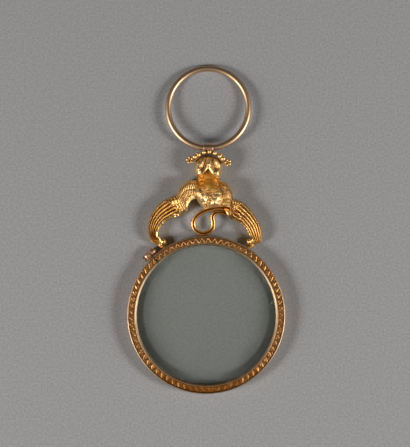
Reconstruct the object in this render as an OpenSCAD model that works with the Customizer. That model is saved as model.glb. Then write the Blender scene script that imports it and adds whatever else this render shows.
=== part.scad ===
// Hand-held quizzing glass: a round lens in a split gold rim, a winged and crowned
// figure above it, and a suspension ring that swings in an eyelet on the crown.
//
// It lies on its back. +X is to the right, +Y runs from the rim to the suspension
// ring, and +Z points away from the surface that it lies on. The origin is under the
// middle of the whole piece, on that surface. All sizes are in millimetres.

/* [Rim and lens] */
// Outer diameter of the rim
rim_d = 38; // [34:0.5:42]
// Radial width of the rim's face, from the opening to the outer edge
rim_face_w = 2.25; // [2.0:0.05:2.8]
// Thickness of the rim, back to front
rim_t = 3.2; // [2.9:0.1:4.0]
// Width of the smooth lip between the opening and the chased band
lip_w = 0.55; // [0.4:0.05:0.8]
// Width of the plain edge outside the chased band
edge_w = 0.25; // [0.15:0.05:0.4]
// Depth of the recess that the chased band lies in
recess_depth = 0.3; // [0.2:0.05:0.4]
// Depth of the groove that holds the lens, outward from the opening
groove_depth = 0.5; // [0.35:0.05:0.7]
// Thickness of the lens at its edge
lens_edge_t = 1.4; // [1.0:0.1:1.6]
// Height of each face of the lens above its edge, at the middle
lens_bulge = 0.75; // [0.4:0.05:0.9]
// Clearance all round the lens in its groove
lens_clearance = 0.08; // [0.04:0.02:0.12]
// Number of zigzag teeth in the chased band
band_teeth = 74; // [60:1:90]
// Height of the zigzag above its valleys
tooth_h = 0.26; // [0.1:0.02:0.34]

/* [Closing lugs and screw] */
// Angle round the rim from the left foot to the split
split_angle = 11.0; // [10.5:0.5:28]
// Width of the split in the rim
split_gap = 0.3; // [0.2:0.05:0.5]
// Length of each closing lug, along the screw
lug_len = 1.35; // [1.1:0.05:1.6]
// Diameter of each closing lug
lug_d = 1.9; // [1.7:0.05:2.3]
// Diameter of the closing screw's shank
screw_d = 0.9; // [0.7:0.05:1.1]
// Diameter of the closing screw's head
screw_head_d = 1.5; // [1.3:0.05:1.7]
// Thickness of the closing screw's head
screw_head_t = 0.5; // [0.4:0.05:0.7]
// Width of the slot in the screw's head
screw_slot_w = 0.28; // [0.2:0.02:0.4]
// Radial clearance of the screw in the lugs
screw_clearance = 0.04; // [0.02:0.01:0.08]

/* [Wings] */
// Span across both wings
wing_span = 27.6; // [25.5:0.1:29]
// Height of the shoulders above the top of the rim
shoulder_h = 13.4; // [12.5:0.1:15]
// Thickness of the wings at the shoulder
shoulder_t = 4.8; // [4.2:0.1:5.4]
// Thickness of the wings at half their length
wing_t = 3.4; // [2.8:0.1:4.0]
// Number of long feathers in each wing
feathers = 5; // [4:1:6]
// Height of each long feather's ridge
feather_h = 0.32; // [0.15:0.01:0.45]
// Height of the short covert feathers on the shoulders
covert_h = 0.2; // [0.1:0.01:0.3]
// Distance between the middles of the two scroll feet
foot_spread = 21.0; // [20.2:0.1:22]
// Outer diameter of each scroll foot
foot_d = 2.2; // [1.9:0.05:2.3]
// Diameter of the wire of each scroll foot
foot_wire_d = 0.84; // [0.7:0.02:0.9]
// Diameter of the bead that ends each scroll foot
foot_bead_d = 1.0; // [0.94:0.02:1.1]

/* [Breast and tail] */
// Width of the breast, between the two wings
breast_w = 6.0; // [5.4:0.1:6.6]
// Distance of the breast's middle from the rim's middle line, to the right
breast_shift = 0.66; // [0.3:0.02:1.0]
// Thickness of the breast, back to front
breast_t = 5.7; // [5.0:0.1:6.4]
// Thickness of the neck, back to front
neck_t = 4.2; // [3.6:0.1:4.8]
// Width of the tail's loop, between the middles of its two sides
tail_loop_w = 4.8; // [4.2:0.1:5.2]
// Height of the tail's loop above the rim
tail_h = 6.75; // [6.6:0.05:6.9]
// Width of the tail's grooved wire
tail_wire_w = 0.94; // [0.7:0.02:0.96]
// Depth of the groove along the tail
tail_groove = 0.26; // [0.1:0.02:0.4]

/* [Head and crown] */
// Width of the head
head_w = 6.72; // [6.2:0.02:7.0]
// Thickness of the head, back to front
head_t = 6.0; // [5.4:0.1:6.6]
// Height of the head's middle above the shoulders
neck_rise = 2.95; // [2.8:0.05:3.3]
// Distance of the head's middle from the rim's middle line, to the right
head_shift = 0.5; // [0.3:0.02:0.8]
// Tilt of the head, clockwise
head_tilt = 4; // [0:0.5:7]
// Radial thickness of the crown's band
crown_band_t = 0.5; // [0.4:0.02:0.7]
// Width of the crown's band, back to front
crown_band_w = 3.0; // [2.6:0.1:3.4]
// Height of the crown's band above the surface that the piece lies on
crown_z = 1.5; // [1.4:0.1:1.8]
// Diameter of the small beads on the crown
pearl_d = 1.0; // [0.7:0.05:1.1]
// Diameter of each bead in the two end rosettes
rosette_bead_d = 0.76; // [0.6:0.02:0.8]
// Clearance between pieces that are soldered to each other
seat_gap = 0.02; // [0.01:0.01:0.04]

/* [Suspension ring] */
// Outer diameter of the suspension ring
ring_d = 20.8; // [20:0.1:24]
// Diameter of the suspension ring's wire
ring_wire_d = 1.45; // [1.2:0.05:1.6]
// Height of the eyelet's middle above the surface that the piece lies on
eyelet_z = 3.0; // [2.8:0.05:3.2]
// Length of the eyelet
eyelet_len = 2.3; // [1.8:0.1:2.4]
// Wall thickness of the eyelet
eyelet_wall = 0.25; // [0.2:0.01:0.35]
// Radial clearance of the ring's wire in the eyelet
eyelet_clearance = 0.14; // [0.12:0.01:0.2]
// Depth of the eyelet's seat, filed into the top of the crown
eyelet_seat = 0.22; // [0.15:0.01:0.3]

/* [Hidden] */

LEFT = -1;
RIGHT = 1;

// Rim and lens
rim_r = rim_d / 2;
opening_r = rim_r - rim_face_w;
groove_r = opening_r + groove_depth;
lens_r = groove_r - lens_clearance;
lens_face_r = (lens_r * lens_r + lens_bulge * lens_bulge) / (2 * lens_bulge);
band_inner_r = opening_r + lip_w;
band_outer_r = rim_r - edge_w;
band_floor_z = rim_t - recess_depth;
split_half_angle = asin(split_gap / 2 / rim_r);
split_direction = 90 + asin(foot_spread / 2 / (rim_r + foot_d / 2 + seat_gap)) + split_angle;

// Suspension ring, which rests on the surface with its far end
ring_r = (ring_d - ring_wire_d) / 2;
ring_slope = asin((eyelet_z - ring_wire_d / 2) / (2 * ring_r));
eyelet_bore_r = ring_wire_d / 2 + eyelet_clearance;
eyelet_r = eyelet_bore_r + eyelet_wall;

// Head and crown, measured from the head's middle
crown_inner_r = head_w / 2 + 0.05;
crown_outer_r = crown_inner_r + crown_band_t;
crown_front_z = crown_z + crown_band_w;
eyelet_rise = crown_outer_r + eyelet_r - eyelet_seat;

// Heights above the rim's middle, and the whole length that centres the piece on the origin
head_y = rim_r + shoulder_h + neck_rise;
eyelet_y = head_y + eyelet_rise;
ring_far_y = eyelet_y + 2 * ring_r * cos(ring_slope) + ring_wire_d / 2;
rim_y = -(ring_far_y - rim_r) / 2;
rim_top_y = rim_y + rim_r;
head_c = [head_shift, rim_y + head_y];
eyelet_c = [head_shift, rim_y + eyelet_y];

// Feet of the wings, which stand on the rim
foot_r = foot_d / 2;
foot_wire_r = foot_wire_d / 2;
foot_y = rim_y + sqrt(pow(rim_r + foot_r + seat_gap, 2) - pow(foot_spread / 2, 2));
foot_start_angle = 200;
foot_z = rim_t / 2;

function unit(angle) = [cos(angle), sin(angle)];

// Point at the parameter s of a smooth curve that passes through every point of a list
function curve(points, s) =
    let (last = len(points) - 1,
         i = min(floor(s), last - 1),
         t = s - i,
         a = points[max(i - 1, 0)],
         b = points[i],
         c = points[i + 1],
         d = points[min(i + 2, last)])
    b + (c - a) * t / 2 + (2 * a - 5 * b + 4 * c - d) * t * t / 2
      + (3 * b - a - 3 * c + d) * t * t * t / 2;

// Smooth hill of height 1 over the point at, as wide as its radius
function hill(p, at, radius) = exp(-pow(norm(p - at) / radius, 2));

// Evenly spaced values from the first to the last
function steps(first, last, count) = [for (i = [0:count]) first + (last - first) * i / count];

// Upright section of a cast piece, from the left side to the right side of its path.
// The tops are heights, evenly spaced from the left side to the right side.
function upright_ring(left, right, bottom_z, tops) =
    let (n = len(tops) - 1, middle = (left + right) / 2)
    concat([[middle.x, middle.y, bottom_z], [right.x, right.y, bottom_z]],
           [for (i = [n:-1:0])
               let (p = left + (right - left) * i / n)
               [p.x, p.y, tops[i]]],
           [[left.x, left.y, bottom_z]]);

// Solid through a row of sections, each listed anticlockwise as seen along the row.
// Each side is split along its higher diagonal, which keeps ridges sharp. The two ends
// are closed as fans about each section's first point.
module loft(rings) {
    n = len(rings[0]);
    last = len(rings) - 1;
    points = [for (ring = rings) each ring];
    sides = [for (k = [0:last - 1], i = [0:n - 1])
        let (a = k * n + i, b = k * n + (i + 1) % n, c = b + n, d = a + n,
             ac = points[a].z + points[c].z, bd = points[b].z + points[d].z)
        each (ac >= bd ? [[a, b, c], [a, c, d]] : [[a, b, d], [b, c, d]])];
    start = [for (i = [1:n - 2]) [0, i + 1, i]];
    end = [for (i = [1:n - 2]) [last * n, last * n + i, last * n + i + 1]];
    polyhedron(points = points, faces = concat(sides, start, end));
}

module at_rim() {
    translate([0, rim_y, 0]) children();
}

// Biconvex lens, its rim cut square
module lens() {
    color("lightblue", 0.4) at_rim() translate([0, 0, rim_t / 2]) rotate_extrude($fn = 180)
        intersection() {
            translate([0, lens_edge_t / 2 + lens_bulge - lens_face_r]) circle(r = lens_face_r, $fn = 1440);
            translate([0, lens_face_r - lens_edge_t / 2 - lens_bulge]) circle(r = lens_face_r, $fn = 1440);
            translate([0, -rim_t]) square([lens_r, 2 * rim_t]);
        }
}

// Gap through the rim at the split
module split_cut() {
    rotate(split_direction) translate([opening_r - 1, -split_gap / 2, -1])
        cube([rim_face_w + 2, split_gap, rim_t + 2]);
}

// Channel that holds the lens, with a recess in its face for the chased band
module rim_channel() {
    groove_w = lens_edge_t + 2 * lens_clearance + 0.1;
    bevel = lip_w * 0.6;
    color("goldenrod") at_rim() difference() {
        rotate_extrude($fn = 180) difference() {
            polygon([
                [opening_r, bevel],
                [opening_r + bevel, 0],
                [rim_r, 0],
                [rim_r, rim_t],
                [opening_r + bevel, rim_t],
                [opening_r, rim_t - bevel],
            ]);
            translate([opening_r - 1, (rim_t - groove_w) / 2]) square([groove_depth + 1, groove_w]);
            translate([band_inner_r, band_floor_z]) square([band_outer_r - band_inner_r, recess_depth + 1]);
        }
        split_cut();
    }
}

// Strip with a running zigzag, which swings between the strip's two edges
module chased_band() {
    half_turns = 2 * band_teeth;
    low = rim_t - recess_depth / 2;
    high = low + tooth_h;
    edge = (low + high) / 2;
    rings = [for (k = [0:half_turns])
        let (angle = split_direction + split_half_angle + k / half_turns * (360 - 2 * split_half_angle),
             inner = k % 2 == 0 ? high : low,
             outer = k % 2 == 0 ? low : high)
        upright_ring(unit(angle) * (band_inner_r + seat_gap), unit(angle) * (band_outer_r - seat_gap),
                     band_floor_z + seat_gap, [edge, inner, outer, edge])];
    color("peru") at_rim() loft(rings);
}

// Places its children at the split: +X along the screw, +Y out from the rim
module at_split() {
    at_rim() rotate(split_direction) translate([rim_r + lug_d / 2, 0, rim_t / 2]) rotate(-90) children();
}

// Rounded lug from the split along the screw, seated on the rim, with a hole for the screw
module lug(side, hole_r) {
    start = side * split_gap / 2;
    difference() {
        at_split() union() {
            translate([start, 0, 0]) rotate([0, 90 * side, 0]) cylinder(d = lug_d, h = lug_len, $fn = 48);
            translate([side > 0 ? start : start - lug_len, -lug_d * 0.85, -lug_d * 0.36])
                cube([lug_len, lug_d * 0.85, lug_d * 0.72]);
        }
        at_split() rotate([0, 90, 0]) cylinder(r = hole_r, h = 3 * lug_len, center = true, $fn = 48);
        at_rim() translate([0, 0, -1]) cylinder(r = rim_r + seat_gap, h = rim_t + 2, $fn = 180);
    }
}

module lug_tapped() {
    color("peru") lug(RIGHT, screw_d / 2 + screw_clearance);
}

module lug_plain() {
    color("peru") lug(LEFT, screw_d / 2 + screw_clearance);
}

// Screw with its slotted head against the plain lug
module closing_screw() {
    head_x = -split_gap / 2 - lug_len - seat_gap;
    color("gold") at_split() rotate([0, 90, 0]) difference() {
        union() {
            translate([0, 0, head_x]) cylinder(d = screw_d, h = 2 * lug_len + split_gap, $fn = 48);
            translate([0, 0, head_x - screw_head_t]) cylinder(d = screw_head_d, h = screw_head_t, $fn = 48);
        }
        translate([-screw_head_d, -screw_slot_w / 2, head_x - screw_head_t - 1])
            cube([2 * screw_head_d, screw_slot_w, 1 + screw_head_t / 2]);
    }
}

// Distance of each wing's root from the rim's middle line
function root_x(side) = breast_w / 2 + side * breast_shift;

// Point on a wing. out runs from the root, 0, to the tip of the span, 1, and
// up from the top of the rim, 0, to the shoulder, 1.
function wing_point(side, out, up) =
    [side * (root_x(side) + out * (wing_span / 2 - root_x(side))), rim_top_y + up * shoulder_h];

function foot_c(side) = [side * foot_spread / 2, foot_y];

// Point near a scroll foot, counted outward and upward from its middle in its radii
function foot_point(side, out, up) = foot_c(side) + foot_r * [side * out, up];

// Point on the line where a wing ends and its scroll foot starts
function foot_start(side, radius) =
    let (d = unit(foot_start_angle))
    foot_c(side) + radius * [-side * d.x, d.y];

// Outlines of the two wings, from the root to the foot: where each section's outer
// and inner ends lie. The left wing droops more, because the figure leans.
left_outer = [[0, 1.0], [0.2, 1.0], [0.36, 0.87], [0.44, 0.745], [0.69, 0.646], [0.885, 0.485],
              [0.995, 0.287], [1.02, 0.072]];
left_inner = [[0, 0.664], [0.094, 0.637], [0.168, 0.557], [0.209, 0.431], [0.408, 0.341],
              [0.597, 0.278], [0.743, 0.171], [0.817, 0.018]];
right_outer = [[0, 0.987], [0.142, 0.943], [0.256, 0.817], [0.297, 0.682], [0.524, 0.601],
               [0.74, 0.431], [0.897, 0.233], [0.966, 0.036]];
right_inner = [[0, 0.582], [0.095, 0.582], [0.2, 0.524], [0.2, 0.377], [0.261, 0.296],
               [0.415, 0.242], [0.569, 0.135], [0.66, 0.009]];
covert_end = 3;
wing_end = 9;

function wing_edge(side, fractions, foot_out, foot_up, foot_radius) = concat(
    [for (f = fractions) wing_point(side, f[0], f[1])],
    [foot_point(side, foot_out, foot_up), foot_start(side, foot_radius)]);

function wing_outer(side) =
    wing_edge(side, side == LEFT ? left_outer : right_outer, 2.25, 0.55, foot_r);

function wing_inner(side) =
    wing_edge(side, side == LEFT ? left_inner : right_inner, 0.45, 1.05, foot_r - foot_wire_d);

// Thickness of a wing along its length
wing_heights = concat([0.94, 1, 1, 0.9] * shoulder_t, [1.06, 1, 0.94, 0.85, 0.74, 0.68] * wing_t);

// Share of the thickness that is left at the two edges of a wing
edge_share = 0.55;

// Height of a wing's top, s along it and v across it, without its feathers
function wing_dome(s, v) = curve(wing_heights, s) * (edge_share + (1 - edge_share) * pow(sin(180 * v), 0.7));

// Long feathers run the length of the wing, side by side
function long_feather(s, v) = feather_h * (abs(sin(180 * feathers * v)) - 0.5) * min(1, (wing_end - s) * 0.8);

// Short coverts lie in staggered rows across the shoulder
function covert(s, v) = covert_h * (abs(sin(180 * (2 * s + 0.5))) * abs(sin(180 * (3 * v + s))) - 0.4);

// Part of a wing between two parameters along it
module wing_part(side, first, last, count, across, surface) {
    outer = wing_outer(side);
    inner = wing_inner(side);
    rings = [for (s = steps(first, last, count))
        let (a = curve(side == LEFT ? inner : outer, s),
             b = curve(side == LEFT ? outer : inner, s))
        upright_ring(a, b, 0, [for (v = steps(0, 1, across))
            wing_dome(s, v) + (surface == "long" ? long_feather(s, v) : covert(s, v)) * sin(180 * v)])];
    loft(rings);
}

module shoulder_left() {
    color("goldenrod") wing_part(LEFT, 0, covert_end, 15, 15, "covert");
}

module shoulder_right() {
    color("goldenrod") wing_part(RIGHT, 0, covert_end, 15, 15, "covert");
}

module wing_left() {
    color("gold") wing_part(LEFT, covert_end, wing_end, 18, 4 * feathers, "long");
}

module wing_right() {
    color("gold") wing_part(RIGHT, covert_end, wing_end, 18, 4 * feathers, "long");
}

// Curl that carries on from the wing's end, under and round, and ends in a bead
module foot(side) {
    curl_angle = 230;
    curl_r = foot_r - foot_wire_r;
    end_angle = foot_start_angle + curl_angle;
    translate([foot_c(side).x, foot_c(side).y, foot_z]) mirror([side == RIGHT ? 1 : 0, 0, 0]) union() {
        rotate(foot_start_angle) rotate_extrude(angle = curl_angle, $fn = 64)
            translate([curl_r, 0]) circle(r = foot_wire_r, $fn = 32);
        rotate(end_angle) translate([curl_r, 0, 0]) rotate(90) sphere(d = foot_bead_d, $fn = 32);
    }
}

module foot_left() {
    color("gold") foot(LEFT);
}

module foot_right() {
    color("gold") foot(RIGHT);
}

// The neck rises into a notch under the head, between these two directions
notch_left = 230 - head_tilt;
notch_right = 310 - head_tilt;
notch_tip_r = 0.08;

// Outline of the head about its middle: wide, and flatter above and below
function head_r(angle) =
    let (a = head_w / 2, b = head_w * 0.43, d = unit(angle + head_tilt))
    pow(pow(abs(d.x) / a, 2.4) + pow(abs(d.y) / b, 2.4), -1 / 2.4);

function head_point(angle, share) =
    head_c + unit(angle) * (notch_tip_r + share * (head_r(angle) - notch_tip_r));

// Breast and neck: right and left ends of each section, from the notch to the belly
function breast_side(side) =
    let (notch = side == LEFT ? notch_left : notch_right,
         top = wing_outer(side)[0],
         bottom = wing_inner(side)[0],
         belly = [breast_shift - 0.06 * breast_w, rim_top_y + 0.552 * shoulder_h])
    [
        head_point(notch, 0),
        head_point(notch, 0.5),
        head_point(notch, 1),
        top + breast_w * [-side * 0.06, 0.05],
        top,
        top + (bottom - top) * 0.33,
        top + (bottom - top) * 0.67,
        bottom,
        belly + breast_w * [side * 0.3, 0.06],
        belly + breast_w * [side * 0.085, 0],
    ];
breast_heights = concat([1, 1, 1, 0.98, 1.05] * neck_t, [0.93, 1, 0.93, 0.74, 0.54] * breast_t);
breast_end = len(breast_heights) - 1;

// Two full lobes on the breast, where the light catches it
function breast_lobes(p) =
    let (m = (p - [breast_shift, rim_top_y + 0.72 * shoulder_h]) / breast_w)
    0.07 * breast_t * (hill(m, [-0.29, 0.17], 0.2) + hill(m, [0.26, 0], 0.22) - hill(m, [-0.02, 0.15], 0.15));

// Keeps a section's end inside the flat sides that the wings are soldered to
function within_roots(p, side) = [side * min(side * p.x, root_x(side)), p.y];

module breast() {
    left = breast_side(LEFT);
    right = breast_side(RIGHT);
    rings = [for (s = steps(0, breast_end, 3 * breast_end))
        let (a = within_roots(curve(right, s), RIGHT),
             b = within_roots(curve(left, s), LEFT))
        upright_ring(a, b, 0, [for (v = steps(0, 1, 16))
            let (p = a + (b - a) * v)
            curve(breast_heights, s) * (0.62 + 0.38 * pow(sin(180 * v), 0.8)) + breast_lobes(p)])];
    color("gold") loft(rings);
}

// Relief of the head about its middle: a ridge down the brow that parts over the
// neck into two arms, a hollow on either side of it, and a full cheek below each hollow.
// Places and widths are shares of the head's width.
function head_relief(p) =
    let (q = [p.x * cos(head_tilt) - p.y * sin(head_tilt), p.x * sin(head_tilt) + p.y * cos(head_tilt)],
         m = [abs(q.x), q.y] / head_w,
         arm = unit(310),
         along_arm = m * arm,
         off_arm = norm(m - along_arm * arm))
    head_t * (0.1 * exp(-pow(m.x / 0.048, 2)) * (m.y > 0 ? 1 : 0)
        + 0.1 * exp(-pow(off_arm / 0.06, 2)) * (along_arm > 0 ? 1 : 0)
        - 0.17 * hill(m, [0.22, 0.05], 0.134)
        + 0.1 * hill(m, [0.365, -0.2], 0.112));

module head() {
    rings = [for (angle = steps(notch_right - 360, notch_left, 42))
        let (inner = head_point(angle, 0), outer = head_point(angle, 1))
        upright_ring(inner, outer, 0, [for (v = steps(0, 1, 12))
            let (p = inner + (outer - inner) * v)
            head_t * (0.62 + 0.34 * pow(max(0, 1 - pow(v, 2.4)), 0.5)) + head_relief(p - head_c)])];
    color("gold") loft(rings);
}

module at_head() {
    translate([head_c.x, head_c.y, 0]) rotate(-head_tilt) children();
}

// Solid of the crown's half-hoop, thickened all over by extra
module crown_hoop(extra) {
    first = 22;
    last = 158;
    rotate(first) rotate_extrude(angle = last - first, $fn = 96)
        translate([crown_inner_r - extra, crown_z - extra])
            square([crown_band_t + 2 * extra, crown_band_w + 2 * extra]);
}

module at_eyelet() {
    translate([eyelet_c.x, eyelet_c.y, eyelet_z]) rotate([0, 90, 0]) children();
}

// Half-hoop over the head, with a seat filed into its top for the eyelet
module crown_band() {
    color("darkgoldenrod") difference() {
        at_head() crown_hoop(0);
        at_eyelet() cylinder(r = eyelet_r + seat_gap, h = 3 * eyelet_len, center = true, $fn = 64);
    }
}

// Small beads along the hoop's front edge, clear of the eyelet and the ring
module crown_pearls() {
    color("gold") at_head() difference() {
        for (angle = [50, 70, 90, 110, 130])
            rotate(angle) translate([crown_outer_r, 0, crown_front_z]) sphere(d = pearl_d, $fn = 32);
        crown_hoop(seat_gap);
    }
}

// Bead on a short stem, turned in one piece
module domed_bead(d, stem) {
    rotate_extrude($fn = 32) union() {
        intersection() {
            circle(d = d, $fn = 64);
            square(d);
        }
        translate([0, -stem]) square([d / 2, stem]);
    }
}

// Rosette at each end of the hoop: four beads in a square, their stems joined by a post
module crown_rosettes() {
    bead_r = rosette_bead_d / 2;
    out = (bead_r + seat_gap) * sqrt(2);
    stem = bead_r * 1.05;
    post_r = bead_r * 0.8;
    post_drop = bead_r * 0.25;
    centre_r = crown_outer_r + seat_gap + out + bead_r;
    color("gold") at_head()
        for (angle = [20, 160])
            rotate(angle) translate([centre_r, 0, crown_z + crown_band_w * 0.45]) {
                for (i = [0:3])
                    rotate((i + 0.5) * 90 - angle) translate([out, 0, 0]) domed_bead(rosette_bead_d, stem);
                translate([0, 0, -stem]) cylinder(r = post_r, h = stem - post_drop, $fn = 32);
            }
}

// Middle line of the tail: across from the right wing, down and round the loop, and
// back to the wing. Points are counted from the loop's middle, in halves of its width,
// and up from the rim, in shares of its height. The third value is the height.
tail_middle_x = -0.72;
tail_route = [[2.54, 0.982, 3.0], [1.58, 1.005, 3.2], [0.68, 0.95, 3.1], [-0.17, 0.84, 2.8],
              [-0.76, 0.667, 2.5], [-1.0, 0.44, 2.2], [-0.77, 0.22, 2.0], [-0.22, 0.1, 2.0],
              [0.43, 0.115, 2.0], [0.91, 0.265, 2.1], [1.0, 0.49, 2.2], [0.93, 0.675, 2.3],
              [1.15, 0.805, 2.5], [1.66, 0.85, 2.7], [2.2, 0.825, 2.7], [2.56, 0.785, 2.7]];
tail_end = len(tail_route) - 1;

function tail_point(s) =
    let (p = curve(tail_route, s))
    [tail_middle_x + p[0] * tail_loop_w / 2, rim_top_y + p[1] * tail_h, p[2]];

// Grooved section of the tail, to the left of its path and up
tail_section = let (w = tail_wire_w / 2) [
    [0, -w], [-0.7 * w, -0.75 * w], [-w, 0], [-0.75 * w, 0.8 * w], [-0.42 * w, w], [0, w - tail_groove],
    [0.42 * w, w], [0.75 * w, 0.8 * w], [w, 0], [0.7 * w, -0.75 * w],
];

module tail() {
    reach = 0.05;
    rings = [for (s = steps(0, tail_end, 4 * tail_end))
        let (p = tail_point(s),
             ahead = tail_point(min(s + reach, tail_end)) - tail_point(max(s - reach, 0)),
             left = [-ahead.y, ahead.x, 0] / norm([ahead.x, ahead.y]))
        [for (q = tail_section) p + left * q[0] + [0, 0, q[1]]]];
    color("gold") loft(rings);
}

module ring_eyelet() {
    color("peru") at_eyelet() difference() {
        cylinder(r = eyelet_r, h = eyelet_len, center = true, $fn = 64);
        cylinder(r = eyelet_bore_r, h = eyelet_len + 1, center = true, $fn = 64);
    }
}

// Round wire ring that hangs in the eyelet and slopes down to the surface
module suspension_ring() {
    color("goldenrod") translate([eyelet_c.x, eyelet_c.y, eyelet_z]) rotate([-ring_slope, 0, 0])
        translate([0, ring_r, 0]) rotate_extrude($fn = 128)
            translate([ring_r, 0]) circle(d = ring_wire_d, $fn = 40);
}

lens();
rim_channel();
chased_band();
lug_tapped();
lug_plain();
closing_screw();
shoulder_left();
shoulder_right();
wing_left();
wing_right();
foot_left();
foot_right();
breast();
head();
crown_band();
crown_pearls();
crown_rosettes();
tail();
ring_eyelet();
suspension_ring();
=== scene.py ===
"""A hand-held quizzing glass of antique gold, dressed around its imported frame.

Each sub-assembly is a class that builds its own meshes in millimetres, in the frame's
own axes: +X to the right, +Y from the rim to the suspension ring, +Z up from the surface
that the piece lies on. mesh_piece turns them to metres.
"""

import logging
import math
from dataclasses import dataclass, field
from enum import Enum
from typing import Any

import bmesh
import bpy
import numpy as np
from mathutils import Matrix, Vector


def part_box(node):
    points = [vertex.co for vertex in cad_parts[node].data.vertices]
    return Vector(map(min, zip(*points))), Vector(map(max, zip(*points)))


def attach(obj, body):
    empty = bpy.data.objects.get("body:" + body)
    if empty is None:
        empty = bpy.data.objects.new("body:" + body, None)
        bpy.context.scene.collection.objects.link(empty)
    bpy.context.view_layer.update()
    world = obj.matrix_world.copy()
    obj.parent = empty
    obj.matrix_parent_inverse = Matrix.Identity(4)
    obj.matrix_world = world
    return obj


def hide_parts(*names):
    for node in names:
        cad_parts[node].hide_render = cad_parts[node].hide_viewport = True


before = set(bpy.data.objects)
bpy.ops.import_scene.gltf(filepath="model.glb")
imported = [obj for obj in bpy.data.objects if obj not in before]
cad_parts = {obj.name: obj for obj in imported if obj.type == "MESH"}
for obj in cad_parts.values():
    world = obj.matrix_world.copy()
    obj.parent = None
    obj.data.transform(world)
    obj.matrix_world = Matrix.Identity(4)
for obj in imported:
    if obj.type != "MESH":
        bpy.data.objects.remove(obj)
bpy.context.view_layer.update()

log = logging.getLogger("quizzing_glass")

MM = 0.001
FIXED_BODY = "glass_and_figure"
RING_BODY = "suspension_ring"

Points = np.ndarray
Piece = bpy.types.Object
Tree = bpy.types.NodeTree
Material = bpy.types.Material
# a closed surface: its vertices in millimetres, and its faces as lists of vertex numbers
Shape = tuple[Points, list]


class Side(Enum):
    """The side of the figure that a wing is on, as the sign of its X."""

    LEFT = -1
    RIGHT = 1


# Numbers and curves


def linear(hex_colour: str) -> tuple[float, float, float, float]:
    """Turn an sRGB hex colour to the linear RGBA that Blender works in.

    Args:
        hex_colour: a colour such as "#d9a441".

    Returns:
        Linear red, green, blue and an alpha of 1.
    """

    def channel(value: float) -> float:
        """Turn one sRGB channel to linear."""
        return value / 12.92 if value <= 0.04045 else ((value + 0.055) / 1.055) ** 2.4

    digits = hex_colour.lstrip("#")
    return (*(channel(int(digits[i : i + 2], 16) / 255) for i in (0, 2, 4)), 1.0)


def node_box(node: str) -> tuple[Points, Points]:
    """Give a CAD node's lowest and highest corners in millimetres."""
    low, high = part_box(node)
    return np.array(low) / MM, np.array(high) / MM


def unit(degrees: float | Points) -> Points:
    """Give the unit vector in the page's plane at an angle from +X."""
    angle = np.radians(degrees)
    return np.stack([np.cos(angle), np.sin(angle)], axis=-1)


def circle(count: int) -> Points:
    """Give unit vectors at even steps all the way round."""
    return unit(np.linspace(0, 360, count, endpoint=False))


def curve(points: Any, s: Any) -> Points:
    """Follow a smooth curve that passes through every point of a list.

    Args:
        points: the points, or plain numbers, that the curve passes through.
        s: parameters along it, where each whole number is one of the points.

    Returns:
        The curve's points at those parameters.
    """
    p = np.asarray(points, float)
    s = np.asarray(s, float)
    last = len(p) - 1
    i = np.clip(np.floor(s).astype(int), 0, last - 1)
    t = (s - i).reshape(s.shape + (1,) * (p.ndim - 1))
    a, b, c, d = p[np.maximum(i - 1, 0)], p[i], p[i + 1], p[np.minimum(i + 2, last)]
    bend = (2 * a - 5 * b + 4 * c - d) * t**2 / 2
    return b + (c - a) * t / 2 + bend + (3 * b - a - 3 * c + d) * t**3 / 2


def spaced_round(count: int) -> Points:
    """Give shares from 0 to 1 that crowd towards both ends, where a dome turns over."""
    return (1 - np.cos(np.linspace(0, np.pi, count))) / 2


def dome(v: Points, fullness: float) -> Points:
    """Give the height, 0 to 1, of a rounded cross-section at the shares v across it."""
    return np.sqrt(np.clip(1 - np.abs(2 * v - 1) ** fullness, 0, 1))


def bump(x: Points, middle: float, width: float) -> Points:
    """Give a smooth rise of height 1 about a middle value."""
    return np.exp(-(((x - middle) / width) ** 2))


def ease(x: Points, start: float, end: float) -> Points:
    """Rise smoothly from 0 at start to 1 at end."""
    t = np.clip((x - start) / (end - start), 0, 1)
    return t * t * (3 - 2 * t)


def hand_wobble(x: Points, y: Points, seed: float) -> Points:
    """Give the slow unevenness, about -1 to 1, that hand finishing leaves on a cast surface."""
    first = np.sin(1.7 * x + 0.9 * y + seed) * np.sin(1.3 * y - 0.8 * x + 2.1 * seed)
    second = np.sin(3.9 * x - 2.3 * y + 1.3 * seed) * np.sin(3.1 * y + 2.7 * x + seed)
    return 0.65 * first + 0.35 * second


def lapped(along: Points, across: Points, arc: float = 0.45) -> Points:
    """Give the height of rounded, overlapping scales in staggered rows.

    Args:
        along: rows counted towards the tips.
        across: columns counted across them.
        arc: how far each tip's rounded end reaches, in rows.

    Returns:
        Heights from 0, under the next tip, to 1 on the back of a tip.
    """
    top = np.zeros(np.broadcast(along, across).shape)
    back = np.zeros(top.shape)
    for row in (0, 1):
        u = across + 0.5 * row
        u = u - np.floor(u) - 0.5
        reach = (along - row - arc * (1 - 4 * u * u)) / 2
        reach = reach - np.floor(reach)
        back = np.where(reach > top, 1 - 4 * u * u, back)
        top = np.maximum(top, reach)
    return np.clip(2 * top - 1, 0, 1) * (0.3 + 0.7 * np.sqrt(back))


def stroke(x: Points, y: Points, path: list[tuple[float, float]], width: Any) -> Points:
    """Give the height, 0 to 1, of a rounded raised line.

    Args:
        x: places across.
        y: places up.
        path: the points that the line passes through.
        width: its half width, or one for each point of the path.

    Returns:
        The height at each place.
    """
    height = np.zeros(np.broadcast(x, y).shape)
    widths = np.broadcast_to(width, len(path))
    for a, b, first, last in zip(path, path[1:], widths, widths[1:]):
        run = np.subtract(b, a)
        t = np.clip(((x - a[0]) * run[0] + (y - a[1]) * run[1]) / (run @ run), 0, 1)
        off = np.hypot(x - a[0] - t * run[0], y - a[1] - t * run[1])
        height = np.maximum(height, np.exp(-((off / (first + (last - first) * t)) ** 2)))
    return height


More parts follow.
